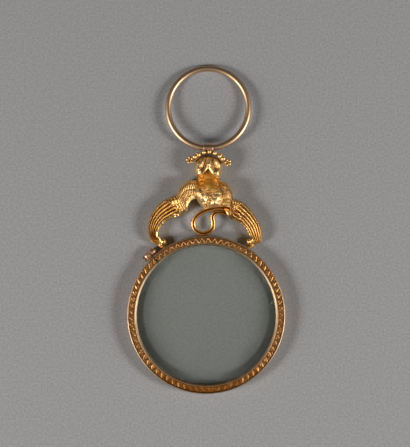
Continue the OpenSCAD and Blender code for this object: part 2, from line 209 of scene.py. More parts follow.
def spanned(first: Points, last: Points, shares: Points) -> Points:
    """Give the places at shares, 0 to 1, of the way from one edge's points to another's."""
    t = shares[:, None]
    return first[:, None] * (1 - t) + last[:, None] * t


def raised(plan: Points, height: Any) -> Points:
    """Give rows of places in the plan their heights."""
    return np.concatenate([plan, np.broadcast_to(height, plan.shape[:2])[..., None]], axis=2)


# Meshes


def mesh_piece(name: str, shape: Shape, sharp_degrees: float = 38.0) -> Piece:
    """Make a mesh object from a surface in millimetres.

    Args:
        name: the piece's name.
        shape: its surface, in the frame's axes.
        sharp_degrees: edges that turn more than this stay crisp.

    Returns:
        The object, smooth-shaded and with its faces turned outward.
    """
    mesh = bpy.data.meshes.new(name)
    work = bmesh.new()
    corners = [work.verts.new(p) for p in shape[0] * MM]
    for face in shape[1]:
        work.faces.new([corners[i] for i in face])
    bmesh.ops.remove_doubles(work, verts=work.verts, dist=1e-7)
    bmesh.ops.recalc_face_normals(work, faces=work.faces)
    work.to_mesh(mesh)
    work.free()
    mesh.shade_smooth()
    mesh.set_sharp_from_angle(angle=math.radians(sharp_degrees))
    piece = bpy.data.objects.new(name, mesh)
    bpy.context.scene.collection.objects.link(piece)
    return piece


def mark_painted_shade(piece: Piece, amount: Any) -> None:
    """Mark painted shade on a piece, for its finish to read.

    Args:
        piece: the piece.
        amount: a function that gives the share of painted shade, 0 to 1, at places in millimetres.
    """
    places = np.empty(3 * len(piece.data.vertices))
    piece.data.vertices.foreach_get("co", places)
    layer = piece.data.attributes.new("tarnish", "FLOAT", "POINT")
    layer.data.foreach_set("value", amount(places.reshape(-1, 3) / MM))


def skin(rings: Points, round_trip: bool = False) -> Shape:
    """Join a row of closed sections into one closed surface.

    Args:
        rings: sections × points × 3, in millimetres.
        round_trip: True where the last section meets the first, with no ends to close.

    Returns:
        The surface.
    """
    count, size = rings.shape[:2]
    faces = []
    for k in range(count if round_trip else count - 1):
        a, b = k * size, ((k + 1) % count) * size
        faces += [[a + i, a + (i + 1) % size, b + (i + 1) % size, b + i] for i in range(size)]
    if not round_trip:
        faces.append(list(range(size)))
        faces.append([(count - 1) * size + i for i in range(size)])
    return rings.reshape(-1, 3), faces


def moved(shape: Shape, way: Any) -> Shape:
    """Move a surface by a way in millimetres."""
    return shape[0] + way, shape[1]


def join(parts: list[Shape]) -> Shape:
    """Put several closed surfaces into one."""
    points, faces, start = [], [], 0
    for part_points, part_faces in parts:
        points.append(part_points)
        faces += [[i + start for i in face] for face in part_faces]
        start += len(part_points)
    return np.concatenate(points), faces


def rounded(corners: Any, radii: Any, steps: int = 5) -> Points:
    """Round the corners of a closed outline with arcs.

    Args:
        corners: the outline's corners, in millimetres.
        radii: the radius at each corner, 0 where it stays sharp.
        steps: the points along each arc.

    Returns:
        The outline's points.
    """
    p = np.asarray(corners, float)
    out = []
    for i, radius in enumerate(radii):
        if radius == 0:
            out.append(p[i])
            continue
        to_last, to_next = p[i - 1] - p[i], p[(i + 1) % len(p)] - p[i]
        to_last, to_next = to_last / np.linalg.norm(to_last), to_next / np.linalg.norm(to_next)
        half = math.acos(float(np.clip(to_last @ to_next, -1, 1))) / 2
        middle = p[i] + (to_last + to_next) / np.linalg.norm(to_last + to_next) * radius / math.sin(half)
        first = p[i] + to_last * radius / math.tan(half) - middle
        second = p[i] + to_next * radius / math.tan(half) - middle
        for t in np.linspace(0, 1, steps):
            spoke = first * (1 - t) + second * t
            out.append(middle + spoke / np.linalg.norm(spoke) * radius)
    return np.array(out)


def turned(profile: Points, degrees: Points, round_trip: bool) -> Shape:
    """Turn a closed profile of (radius, height) about the Z axis at the origin."""
    return skin(raised(unit(degrees)[:, None] * profile[:, :1], profile[:, 1]), round_trip)


def turned_solid(profile: Points, segments: int) -> Shape:
    """Turn an open profile of (radius, height) that starts and ends on the axis."""
    inner = profile[1:-1]
    points, faces = skin(raised(inner[:, None, :1] * circle(segments), inner[:, 1:]))
    faces = faces[:-2]
    ends = np.array([[0, 0, profile[0, 1]], [0, 0, profile[-1, 1]]])
    first, last, row = len(points), len(points) + 1, (len(inner) - 1) * segments
    for i in range(segments):
        following = (i + 1) % segments
        faces += [[first, i, following], [last, row + i, row + following]]
    return np.concatenate([points, ends]), faces


def bead(diameter: float, rows: int, segments: int) -> Shape:
    """Give a round bead about the origin."""
    return turned_solid(diameter / 2 * unit(np.linspace(-90, 90, rows)), segments)


def coil(degrees: Points, radius: float, girth: Points, sides: int) -> Points:
    """Bend a round wire about the Z axis at the origin.

    Args:
        degrees: the angle that each section lies at.
        radius: the radius that the wire's middle is bent to, in millimetres.
        girth: the wire's own radius at each section.
        sides: the points round a section.

    Returns:
        Sections × points × 3.
    """
    across, up = circle(sides).T
    reach = radius + girth[:, None] * across
    return raised(reach[..., None] * unit(degrees)[:, None], girth[:, None] * up)


def swept(path: Points, section: Points) -> Shape:
    """Sweep a section along a path.

    Args:
        path: the points that its middle passes through, in millimetres.
        section: the outline, as (across, up), at all of them, or one outline for each.

    Returns:
        The closed surface.
    """
    ahead = np.gradient(path, axis=0)
    left = np.column_stack([-ahead[:, 1], ahead[:, 0]])
    left /= np.linalg.norm(left, axis=1)[:, None]
    section = np.broadcast_to(section, (len(path), *section.shape[-2:]))
    plan = path[:, None, :2] + left[:, None] * section[..., :1]
    return skin(raised(plan, path[:, 2:] + section[..., 1]))


# Finishes


def add(tree: Tree, kind: str, sockets: dict | None = None, **settings: Any) -> Any:
    """Add a shader node.

    Args:
        tree: the node tree.
        kind: the node's type, without "ShaderNode".
        sockets: what its inputs take, by name or number: values or other nodes' outputs.
        settings: the node's own settings.

    Returns:
        The node.
    """
    node = tree.nodes.new("ShaderNode" + kind)
    for key, value in settings.items():
        setattr(node, key, value)
    for key, value in (sockets or {}).items():
        if isinstance(value, bpy.types.NodeSocket):
            tree.links.new(value, node.inputs[key])
        else:
            node.inputs[key].default_value = value
    return node


def maths(tree: Tree, operation: str, *values: Any, **settings: Any) -> Any:
    """Work out a value from numbers and other nodes' outputs."""
    return add(tree, "Math", dict(enumerate(values)), operation=operation, **settings).outputs["Value"]


def remap(tree: Tree, value: Any, start: float, end: float, low: float, high: float) -> Any:
    """Map a value so that start to end becomes low to high."""
    sockets = {"Value": value, "From Min": start, "From Max": end, "To Min": low, "To Max": high}
    return add(tree, "MapRange", sockets).outputs["Result"]


def noise(tree: Tree, place: Any, size_mm: float, detail: float, rough: float = 0.5) -> Any:
    """Give noise whose patches are about so many millimetres wide."""
    sockets = {"Vector": place, "Scale": 1 / (size_mm * MM), "Detail": detail, "Roughness": rough}
    return add(tree, "TexNoise", sockets).outputs["Fac"]


def rubbed_along(tree: Tree, place: Any, squeeze: float, turn: float) -> Any:
    """Stretch a pattern one way, as rubbing does: squeeze is its scale that way, turn in radians."""
    sockets = {"Vector": place, "Scale": (1.0, squeeze, 1.0), "Rotation": (0.0, 0.0, turn)}
    return add(tree, "Mapping", sockets).outputs["Vector"]


def ramp(tree: Tree, factor: Any, stops: list[tuple[float, str]]) -> Any:
    """Add a colour ramp with its stops as (place, hex colour) and return its colour output."""
    node = add(tree, "ValToRGB", {"Fac": factor})
    elements = node.color_ramp.elements
    while len(elements) < len(stops):
        elements.new(0.5)
    for element, (place, colour) in zip(elements, stops):
        element.position = place
        element.color = linear(colour)
    return node.outputs["Color"]


def new_material(name: str) -> tuple[Material, Tree, Any]:
    """Make an empty node material and give it, its tree and its places in the piece's own axes."""
    material = bpy.data.materials.new(name)
    material.use_nodes = True
    material.node_tree.nodes.clear()
    return material, material.node_tree, add(material.node_tree, "TexCoord").outputs["Object"]


@dataclass(frozen=True)
class GoldFinish:
    """A gold alloy and the way its surface was worked and worn.

    The colours run from the tarnish left in recesses, with painted shade there and where a
    piece marks it, through the alloy, to the paler metal that handling has rubbed bright. Lengths are in
    millimetres.
    """

    name: str
    alloy: str
    rubbed: str
    tarnish: str
    roughness: float
    recess_mm: float = 0.6
    recess_depth: float = 1.0
    mottle_mm: float = 1.6
    grain_mm: float = 0.12
    grain_height_mm: float = 0.004
    scratch_mm: float = 0.25

    def material(self) -> Material:
        """Build the metal.

        Returns:
            A metallic material whose recesses are tarnished and darkened with painted shade, and whose high
            places shine.
        """
        material, tree, place = new_material(self.name)
        # slow patches of tarnish, about as wide as a fingertip's rub between two ridges
        mottle = noise(tree, place, self.mottle_mm, 4.0, 0.6)
        # casting grain and polishing pits, drawn a little coarser than real so that they show
        grain = noise(tree, place, self.grain_mm, 3.0, 0.65)
        # old tarnish stays where a cloth doesn't reach, and the occlusion also paints shade into those
        # recesses
        reach = add(tree, "AmbientOcclusion", {"Distance": self.recess_mm * MM}, samples=8, only_local=True)
        open_share = maths(tree, "POWER", reach.outputs["AO"], 1.6 * self.recess_depth)
        # the share of painted shade that the piece marks on itself
        painted_shade_share = add(tree, "Attribute", attribute_name="tarnish").outputs["Fac"]
        worn = maths(tree, "SUBTRACT", open_share, painted_shade_share)
        patchy = remap(tree, mottle, 0.35, 0.7, -0.16, 0.12)
        clean = maths(tree, "ADD", worn, patchy, use_clamp=True)
        colour = ramp(tree, clean, [(0.12, self.tarnish), (0.62, self.alloy), (1.0, self.rubbed)])
        # tarnish is duller than rubbed metal
        dull = remap(tree, clean, 0.2, 1.0, self.roughness + 0.25, self.roughness)
        grit = remap(tree, grain, 0.3, 0.7, -0.05, 0.06)
        rough = maths(tree, "ADD", dull, grit, use_clamp=True)
        # fine scratches from handling, stretched one way by rubbing along the piece
        scratches = noise(tree, rubbed_along(tree, place, 0.18, 0.6), self.scratch_mm, 2.0)
        height = maths(tree, "MULTIPLY_ADD", scratches, 0.5, grain)
        relief = add(tree, "Bump", {"Height": height, "Strength": 1.0, "Distance": self.grain_height_mm * MM})
        look = {"Base Color": colour, "Roughness": rough, "Normal": relief.outputs["Normal"]}
        metal = add(tree, "BsdfPrincipled", look | {"Metallic": 1.0})
        add(tree, "OutputMaterial", {"Surface": metal.outputs["BSDF"]})
        return material


@dataclass(frozen=True)
class LensFinish:
    """Ground and polished glass, faintly green, with the fine scratches of use.

    A painted shadow of the rim darkens its edge at both sides, least at the top. Lengths
    are in millimetres, and the last two pairs say from where to where the painted shadow comes or goes.
    """

    middle: tuple[float, float]
    clear_r: float = 15.15
    clear_shift: float = 0.4
    edge_blur: float = 0.25
    name: str = "soda_lime_glass_ground_and_polished"
    tint: str = "#d4d6d2"
    painted_rim_shadow_tint: str = "#a1a29c"
    shadow_tint: str = "#c6c8c6"
    roughness: float = 0.02
    scratched: float = 0.07
    scratch_mm: float = 0.5
    beside: tuple[float, float] = (3.0, 13.0)
    above: tuple[float, float] = (5.0, 13.0)

    def material(self) -> Material:
        """Build the glass.

        Returns:
            A clear material that also lets the light through to what lies under it.
        """
        material, tree, place = new_material(self.name)
        hairlines = noise(tree, rubbed_along(tree, place, 0.05, 0.9), self.scratch_mm, 3.0)
        haze = remap(tree, hairlines, 0.45, 0.75, self.roughness, self.scratched)
        # the painted shadow of the rim ends in a clear edge, and thins out towards the top
        clear = Vector((self.middle[0], self.middle[1] + self.clear_shift, 0)) * MM
        flat = add(tree, "VectorMath", {0: place, 1: (1, 1, 0)}, operation="MULTIPLY").outputs["Vector"]
        out = add(tree, "VectorMath", {0: flat, 1: clear}, operation="DISTANCE").outputs["Value"]
        near, far = (self.clear_r - self.edge_blur) * MM, (self.clear_r + self.edge_blur) * MM
        axes = add(tree, "SeparateXYZ", {"Vector": place}).outputs
        inward, outward = (x * MM for x in self.beside)
        low, high = ((self.middle[1] + y) * MM for y in self.above)
        at_edge = remap(tree, out, near, far, 0.0, 1.0)
        below_top = remap(tree, axes["Y"], low, high, 1.0, 0.0)
        at_side = remap(tree, maths(tree, "ABSOLUTE", axes["X"]), inward, outward, 0.0, 1.0)
        painted_rim_shadow = maths(tree, "MULTIPLY", maths(tree, "MULTIPLY", at_edge, below_top), at_side)
        colour = ramp(tree, painted_rim_shadow, [(0.0, self.tint), (1.0, self.painted_rim_shadow_tint)])
        look = {"Base Color": colour, "Roughness": haze, "Transmission Weight": 1.0, "IOR": 1.52}
        glass = add(tree, "BsdfPrincipled", look).outputs["BSDF"]
        through = add(tree, "BsdfTransparent", {"Color": linear(self.shadow_tint)}).outputs["BSDF"]
        shadow = add(tree, "LightPath").outputs["Is Shadow Ray"]
        mixed = add(tree, "MixShader", {0: shadow, 1: glass, 2: through})
        add(tree, "OutputMaterial", {"Surface": mixed.outputs["Shader"]})
        return material


@dataclass(frozen=True)
class PaperFinish:
    """Matt pale grey paper that the piece is photographed on."""

    name: str = "matt_grey_photographic_paper"
    light: str = "#a1a1a3"
    dark: str = "#838386"
    fibre_mm: float = 0.5
    fibre_height_mm: float = 0.05

    def material(self) -> Material:
        """Build the paper, whose fibres give a fine even grain."""
        material, tree, place = new_material(self.name)
        fibres = noise(tree, place, self.fibre_mm, 5.0, 0.7)
        colour = ramp(tree, fibres, [(0.3, self.dark), (0.7, self.light)])
        relief = add(tree, "Bump", {"Height": fibres, "Strength": 0.5, "Distance": self.fibre_height_mm * MM})
        look = {"Base Color": colour, "Roughness": 0.95, "Normal": relief.outputs["Normal"]}
        paper = add(tree, "BsdfPrincipled", look)
        add(tree, "OutputMaterial", {"Surface": paper.outputs["BSDF"]})
        return material


def place_piece(piece: Piece, body: str, slot: str, material: Material, *nodes: str) -> None:
    """Dress a piece, let it ride on a body, and hide the CAD nodes that it stands for.

    Args:
        piece: the piece.
        body: the CAD body that it moves with.
        slot: the record's material slot; not used.
        material: its finish.
        nodes: the CAD nodes that it stands for.
    """
    piece.data.materials.clear()
    piece.data.materials.append(material)
    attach(piece, body)
    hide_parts(*nodes)
    log.info("%s: %d faces", piece.name, len(piece.data.polygons))


# Sub-assemblies


@dataclass
class Rim:
    """The split rim: a channel that holds the lens, with a strip of chased zigzag in its face."""

    face_w: float = 2.25
    lip_w: float = 0.55
    edge_w: float = 0.25
    recess_depth: float = 0.3
    groove_depth: float = 0.5
    groove_w: float = 1.66
    split_gap: float = 0.3
    band_gap: float = 0.02
    teeth: int = 74
    tooth_h: float = 0.09
    # how dark the painted shade on the rim's foot gets
    foot_tarnish: float = 0.34
    lens_edge_half: float = 0.7
    lens_chamfer: float = 0.12
    inset: float = 0.001
    middle: Points = field(init=False)
    radius: float = field(init=False)
    thickness: float = field(init=False)
    split: float = field(init=False)

    def __post_init__(self) -> None:
        """Read the rim's place and size from the frame, a hair inside the solid."""
        low, high = node_box("rim_channel")
        self.middle = (low + high)[:2] / 2
        self.radius = (high - low)[0] / 2 - self.inset
        self.thickness = high[2]
        lugs = np.array([node_box("lug_tapped"), node_box("lug_plain")])
        between = (lugs[:, 0].min(axis=0) + lugs[:, 1].max(axis=0))[:2] / 2 - self.middle
        self.split = math.degrees(math.atan2(between[1], between[0]))

    @property
    def opening_r(self) -> float:
        """The radius of the opening."""
        return self.radius - self.face_w

    @property
    def top_y(self) -> float:
        """The top of the rim's outline, where the figure stands."""
        return self.middle[1] + self.radius

    def round_angles(self, radius: float, count: int) -> Points:
        """Give angles from one side of the split round to the other."""
        half = math.degrees(math.asin(self.split_gap / 2 / radius))
        return np.linspace(self.split + half, self.split + 360 - half, count)

    def painted_shade(self, at: Points) -> Points:
        """Give the painted shade at places in millimetres: the rim's foot is painted darker, as the shade
        that falls on it.
        """
        return self.foot_tarnish * ease((self.middle[1] - at[:, 1]) / self.radius, 0.55, 0.95)

    def piece(self, name: str, shape: Shape, sharp_degrees: float) -> Piece:
        """Make a piece of a shape about the rim's middle, with the painted shade on the rim's foot."""
        piece = mesh_piece(name, moved(shape, [*self.middle, 0]), sharp_degrees)
        mark_painted_shade(piece, self.painted_shade)
        return piece

    def channel(self) -> Piece:
        """Build the channel with its rolled edges and the groove for the lens."""
        inner, outer, top = self.opening_r, self.radius, self.thickness
        band_in, band_out = inner + self.lip_w, outer - self.edge_w
        floor = top - self.recess_depth
        groove_r = inner + self.groove_depth
        groove_low, groove_high = (top - self.groove_w) / 2, (top + self.groove_w) / 2
        bevel = self.lip_w * 0.6
        corners = [
            (inner, bevel), (inner + bevel, 0), (outer, 0), (outer, top), (band_out, top), (band_out, floor),
            (band_in, floor), (band_in, top), (inner + bevel, top), (inner, top - bevel),
            (inner, groove_high), (groove_r, groove_high), (groove_r, groove_low), (inner, groove_low),
        ]
        profile = rounded(corners, [0.12, 0.2, 0.5, 0.14, 0.05, 0, 0, 0.06, 0.1, 0.08, 0.04, 0, 0, 0.04])
        return self.piece("rim_channel_rolled", turned(profile, self.round_angles(outer, 361), False), 38)

    def band(self) -> Piece:
        """Build the strip whose zigzag was cut with a chisel, tooth by tooth."""
        inner, outer = self.opening_r + self.lip_w + self.band_gap, self.radius - self.edge_w - self.band_gap
        bottom = self.thickness - self.recess_depth + self.band_gap
        steps_per_tooth, steps_across = 16, 19
        angles = self.round_angles(self.radius, self.teeth * steps_per_tooth + 1)
        v = np.linspace(0, 1, steps_across)
        tooth = np.linspace(0, self.teeth, len(angles))[:, None]
        part = tooth - np.floor(tooth)
        zigzag = 0.1 + 0.8 * np.abs(2 * part - 1)
        cut = np.clip(1 - np.abs(v - zigzag) / 0.22, 0, 1)
        # a punched dot in each bay of the zigzag
        dots = bump(part, 0.5, 0.14) * bump(v, 0.8, 0.16)
        dots += (bump(part, 0, 0.14) + bump(part, 1, 0.14)) * bump(v, 0.2, 0.16)
        uneven = 0.012 * np.sin(tooth * 1.9) + 0.012 * np.sin(tooth * 5.3 + 9 * v)
        crest = self.thickness - 0.12 - 0.16 * v**1.5
        height = crest + self.tooth_h * (cut - 0.5 + 0.7 * dots) + uneven
        height[:, (0, -1)] = self.thickness - self.recess_depth * 0.6
        height = np.pad(height, ((0, 0), (1, 1)), constant_values=bottom)
        radius = np.pad(inner + (outer - inner) * v, 1, mode="edge")
        rings = raised(unit(angles)[:, None] * radius[:, None], height)
        return self.piece("chased_zigzag_band", skin(rings), 25)

    def lens(self) -> Piece:
        """Build the biconvex lens with its square-cut edge."""
        low, high = node_box("lens")
        radius, half = (high - low)[0] / 2, (high - low)[2] / 2
        edge, chamfer = self.lens_edge_half, self.lens_chamfer
        face_r = (radius**2 + (half - edge) ** 2) / (2 * (half - edge))
        r = radius * np.sin(np.linspace(0, np.pi / 2, 40))
        upper = np.stack([r, half - face_r + np.sqrt(face_r**2 - r**2)], axis=1)
        upper[-1] = [radius - chamfer, edge]
        side = np.array([[radius, edge - chamfer], [radius, chamfer - edge]])
        profile = np.concatenate([upper, side, upper[::-1] * [1, -1]])
        shape = moved(turned_solid(profile, 180), [*self.middle, (low + high)[2] / 2])
        return mesh_piece("lens_biconvex", shape, sharp_degrees=30)


@dataclass
class ClosingLugs:
    """The two lugs at the split of the rim, which the screw draws together."""

    rim: Rim
    lug_d: float = 1.9
    lug_len: float = 1.35
    bore_r: float = 0.49
    seat_gap: float = 0.02
    bevel: float = 0.16

    def lug(self, name: str, direction: int) -> Piece:
        """Build one lug as a rounded barrel on a short foot, drilled for the screw.

        Args:
            name: the piece's name.
            direction: 1 for the lug before the split, seen along the rim, and -1 after it.

        Returns:
            The piece, in place.
        """
        sides = 64
        spoke = circle(sides)
        lug_r, bevel = self.lug_d / 2, self.bevel
        down = np.clip(-spoke[:, 1], 1e-6, None)
        wide = np.clip(np.abs(spoke[:, 0]), 1e-6, None)
        foot = np.minimum((lug_r - self.seat_gap) / down, 0.9 * lug_r / wide)
        outline = np.where(spoke[:, 1] < -0.35, np.maximum(lug_r, foot), lug_r)
        outline = np.minimum(outline, (lug_r + 0.02) / np.clip(down, 0.4, None))
        start = self.rim.split_gap / 2
        end = start + self.lug_len
        # each section's place along the barrel and its radius at every spoke: out, and back through the bore
        rounding = [(start, -0.05), (start + 0.06, 0), (end - 2.2 * bevel, 0)]
        rounding += [(end - bevel, -0.35 * bevel), (end, -1.35 * bevel)]
        sections = [(x, outline + grow) for x, grow in rounding]
        sections += [(x, np.full(sides, self.bore_r)) for x in (end, start)]
        rings = [np.column_stack([np.full(sides, direction * x), r[:, None] * spoke]) for x, r in sections]
        points, faces = skin(np.array(rings), round_trip=True)
        along, out = unit(self.rim.split - 90), unit(self.rim.split)
        plan = self.rim.middle + points[:, :1] * along + (points[:, 1:2] + self.rim.radius + lug_r) * out
        return mesh_piece(name, (np.column_stack([plan, points[:, 2] + self.rim.thickness / 2]), faces))


@dataclass
class Wing:
    """One wing, from its root on the breast to the scroll that it stands on.

    Outlines are in shares: outward from the root to the tip of the span, and upward from
    the top of the rim to the shoulder. Curls are in millimetres.
    """

    side: Side
    rim: Rim
    span: float = 27.6
    shoulder_h: float = 13.4
    shoulder_t: float = 4.8
    wing_t: float = 3.4
    feathers: int = 5
    feather_h: float = 0.4
    foot_spread: float = 21.0
    foot_d: float = 2.2
    foot_gap: float = 0.02
    foot_wire_d: float = 1.06
    foot_start_angle: float = 200.0
    curl_wire_d: float = 1.12
    curl_turn: float = 230.0
    curl_w: float = 0.26
    foot_bead_d: float = 1.3
    covert_end: float = 3.0
    end: float = 9.0
    root: float = field(init=False)
    lip_w: float = field(init=False)
    barb_h: float = field(init=False)
    stroke_rows: float = field(init=False)

    outer_shares = {
        Side.LEFT: [
            (0, 1.0), (0.2, 1.0), (0.36, 0.87), (0.44, 0.745),
            (0.69, 0.646), (0.885, 0.485), (0.995, 0.287), (1.02, 0.072),
        ],
        Side.RIGHT: [
            (0, 0.987), (0.142, 0.943), (0.256, 0.817), (0.297, 0.682),
            (0.524, 0.601), (0.74, 0.431), (0.897, 0.233), (0.966, 0.036),
        ],
    }
    inner_shares = {
        Side.LEFT: [
            (0, 0.664), (0.094, 0.637), (0.168, 0.557), (0.209, 0.431),
            (0.408, 0.341), (0.597, 0.278), (0.743, 0.171), (0.817, 0.018),
        ],
        Side.RIGHT: [
            (0, 0.535), (0.1, 0.53), (0.2, 0.49), (0.21, 0.377),
            (0.261, 0.296), (0.415, 0.242), (0.569, 0.135), (0.66, 0.009),
        ],
    }
    curls = {
        Side.LEFT: [
            [(-4.9, 5.6), (-4.3, 5.1), (-4.4, 4.4)],
            [(-4.9, 3.9), (-4.5, 3.4)],
            [(-7.2, 3.6), (-6.8, 3.3), (-7.3, 3.0)],
        ],
        Side.RIGHT: [
            [(6.4, 3.5), (7.2, 2.9), (8.0, 2.2)],
            [(6.6, 4.2), (7.6, 3.8)],
            [(8.2, 2.9), (8.6, 2.4)],
        ],
    }

    def __post_init__(self) -> None:
        """Find the wing's root on the side of the breast, and set the finer differences of each side."""
        is_left = self.side is Side.LEFT
        self.lip_w, self.barb_h, self.stroke_rows = (0.2, 0.16, 3.2) if is_left else (0.12, 0.07, 2.3)
        low, high = node_box("breast")
        self.root = -low[0] if is_left else high[0]

    @property
    def foot_middle(self) -> Points:
        """The middle of the scroll foot, which stands on the rim."""
        reach = self.rim.radius + self.foot_d / 2 + self.foot_gap
        x = self.foot_spread / 2
        return np.array([self.side.value * x, self.rim.middle[1] + math.sqrt(reach**2 - x**2)])

    def edge(self, shares: list, out: float, up: float, foot_radius: float) -> Points:
        """Give the points of one edge of the wing, from its root to the scroll.

        Args:
            shares: the edge's outline in shares.
            out: how far outward of the scroll's middle it passes, in scroll radii.
            up: how far above it, in scroll radii.
            foot_radius: how far from the scroll's middle it ends.

        Returns:
            The points, in millimetres.
        """
        sign, width = self.side.value, self.span / 2 - self.root
        points = [(sign * (self.root + a * width), self.rim.top_y + b * self.shoulder_h) for a, b in shares]
        points.append(self.foot_middle + self.foot_d / 2 * np.array([sign * out, up]))
        points.append(self.foot_middle + foot_radius * unit(self.foot_start_angle) * [-sign, 1])
        return np.array([tuple(p) for p in points])

    def outer(self) -> Points:
        """Give the outer edge."""
        return self.edge(self.outer_shares[self.side], 2.45, 0.4, self.foot_d / 2 + 0.1)

    def inner(self) -> Points:
        """Give the inner edge."""
        return self.edge(self.inner_shares[self.side], 0.45, 1.05, self.foot_d / 2 - self.foot_wire_d)

    def feathers_relief(self, s: Points, v: Points) -> Points:
        """Give the feathers' relief, 0 to 1: short ones that overlap the roots of the long ones."""
        rows = self.stroke_rows * v + 0.18 * np.sin(2.6 * s) + 0.1
        part = rows - np.floor(rows)
        strokes = 4.3 * s + 0.75 * part + 0.5 * np.floor(rows) + 0.1 * np.sin(9 * v)
        coverts = np.abs(np.sin(np.pi * strokes)) ** 0.9 * (0.5 + 0.5 * np.sin(np.pi * part) ** 0.6)
        turn = np.clip((v - self.lip_w) / (1 - self.lip_w), 0, 1) * self.feathers
        t = turn - np.floor(turn)
        barbs = np.sin(2 * np.pi * (8 * s + 1.6 * np.abs(t - 0.45) + 0.37 * np.floor(turn)))
        primaries = np.sin(np.pi * t**1.15) ** 0.7 * (0.9 + self.barb_h * barbs)
        tip = 4 * v - np.floor(4 * v) - 0.5
        last_row = self.covert_end + 0.25 + 0.35 * v + 0.3 * np.sqrt(1 - 4 * tip**2)
        relief = np.where(s < last_row, 0.25 + 0.75 * coverts, primaries)
        return np.where(v > self.lip_w, relief, 0.6)

    def stretch(self, name: str, first: float, last: float, count: int) -> Piece:
        """Build a stretch of the wing.

        Args:
            name: the piece's name, to which its side is added.
            first: where it starts along the wing.
            last: where it ends.
            count: the number of cross-sections.

        Returns:
            The piece.
        """
        s = np.linspace(first, last, count)
        inner, outer = curve(self.inner(), s), curve(self.outer(), s)
        shoulder_heights = self.shoulder_t * np.array([0.94, 1, 1, 0.9])
        heights = np.append(shoulder_heights, self.wing_t * np.array([1.06, 1, 0.94, 0.85, 0.74, 0.62]))
        top, s = curve(heights, s)[:, None], s[:, None]
        # the last feathers draw together into the scroll's wire
        middle, wire_r = self.rim.thickness / 2, self.foot_wire_d / 2
        narrow = ease(s, self.end - 1.6, self.end)
        edge_z = (1.45 + 0.12 * top) * (1 - narrow) + middle * narrow
        top = top * (1 - narrow) + (middle + wire_r) * narrow
        bottom = (middle - wire_r) * narrow
        v = spaced_round(84)
        plan = spanned(inner, outer, v)
        x, y = plan[..., 0], plan[..., 1]
        fade = dome(v, 12.0) * (1 - 0.85 * narrow)
        curls = np.max([stroke(x, y, path, self.curl_w) for path in self.curls[self.side]], axis=0)
        relief = self.feather_h * (self.feathers_relief(s, v) - 0.6) * fade + 0.3 * curls * dome(v, 6.0)
        uneven = 0.05 * hand_wobble(1.6 * x, 1.6 * y, 1.0 + self.side.value)
        uneven += 0.015 * hand_wobble(5 * x, 5 * y, 3.0)
        lip = 0.7 * ease(v, 0, 0.03) + 0.3 * ease(v, -self.lip_w, 1.1 * self.lip_w)
        body = np.where(v < 0.5, lip, dome(v, 5.0))
        upper = raised(plan, edge_z + (top - edge_z) * body + relief + uneven * fade)
        w = spaced_round(26)[-2:0:-1]
        under = raised(spanned(inner, outer, w), edge_z - (edge_z - bottom) * dome(w, 4.0))
        shape = skin(np.concatenate([upper, under], axis=1))
        return mesh_piece(f"{name}_{self.side.name.lower()}", shape, sharp_degrees=60)

    def shoulder(self) -> Piece:
        """Build the shoulder with its short feathers."""
        return self.stretch("shoulder_coverts", 0.0, self.covert_end, 100)

    def long_feathers(self) -> Piece:
        """Build the stretch of long feathers, down to the scroll."""
        return self.stretch("wing_primaries", self.covert_end, self.end, 210)

    def scroll(self) -> Piece:
        """Build the scroll foot, a tapering curl that ends in a bead."""
        t = np.linspace(0, 1, 48)
        angle = self.foot_start_angle + self.curl_turn * t
        coil_r = (self.foot_d - self.curl_wire_d) / 2
        curl = skin(coil(angle, coil_r, self.curl_wire_d / 2 * (1.2 - 0.35 * t), 24))
        tip = moved(bead(self.foot_bead_d, 15, 24), [*(coil_r * unit(angle[-1])), 0])
        points, faces = join([curl, tip])
        # the curl above is the left one, and the right one mirrors it
        points = points * [-self.side.value, 1, 1] + [*self.foot_middle, self.rim.thickness / 2]
        return mesh_piece(f"scroll_foot_{self.side.name.lower()}", (points, faces))


